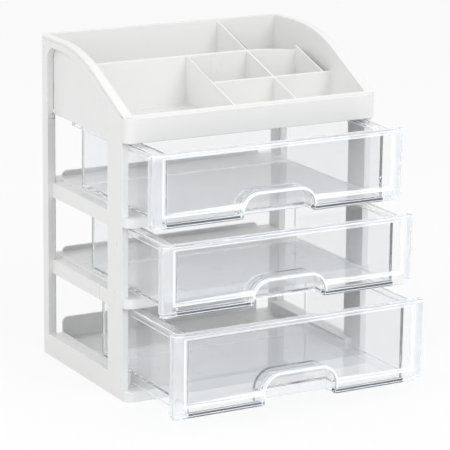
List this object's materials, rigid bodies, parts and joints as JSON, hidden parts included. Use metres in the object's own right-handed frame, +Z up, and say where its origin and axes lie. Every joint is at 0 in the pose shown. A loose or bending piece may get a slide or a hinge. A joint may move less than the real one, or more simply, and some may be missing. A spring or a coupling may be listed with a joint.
{
  "type": "desktop makeup organizer",
  "caption": "White plastic desktop organizer with a sloped, divided open tray above clear pull-out drawers that slide on shelves between arched side frames.",
  "frame": {"origin": "middle of the stand's footprint, on the surface that it rests on", "axes": "+X to the right seen from the drawer fronts, +Y from the front to the back, +Z up; drawers drawn out 44, 63 and 83 mm from top to bottom, as in the picture"},
  "size_m": [0.24, 0.251, 0.2857],
  "materials": {
    "white_frame": "moulded off-white plastic, satin to semi-gloss",
    "white_tray": "moulded off-white plastic, satin to semi-gloss",
    "clear_box": "clear polystyrene, high gloss",
    "clear_front": "clear polystyrene, high gloss"
  },
  "bodies": {
    "stand": {"side_frame_left": "white_frame", "side_frame_right": "white_frame", "base_shelf": "white_frame", "lower_shelf": "white_frame", "upper_shelf": "white_frame", "top_tray": "white_tray"},
    "top_drawer": {"top_drawer_box": "clear_box", "top_drawer_front": "clear_front"},
    "middle_drawer": {"middle_drawer_box": "clear_box", "middle_drawer_front": "clear_front"},
    "bottom_drawer": {"bottom_drawer_box": "clear_box", "bottom_drawer_front": "clear_front"}
  },
  "joints": [
    {"name": "top_drawer_slide", "type": "slide", "parent": "stand", "child": "top_drawer", "axis": [0, -1, 0], "range_m": [-0.044, 0.076]},
    {"name": "middle_drawer_slide", "type": "slide", "parent": "stand", "child": "middle_drawer", "axis": [0, -1, 0], "range_m": [-0.063, 0.057]},
    {"name": "bottom_drawer_slide", "type": "slide", "parent": "stand", "child": "bottom_drawer", "axis": [0, -1, 0], "range_m": [-0.083, 0.037]}
  ]
}
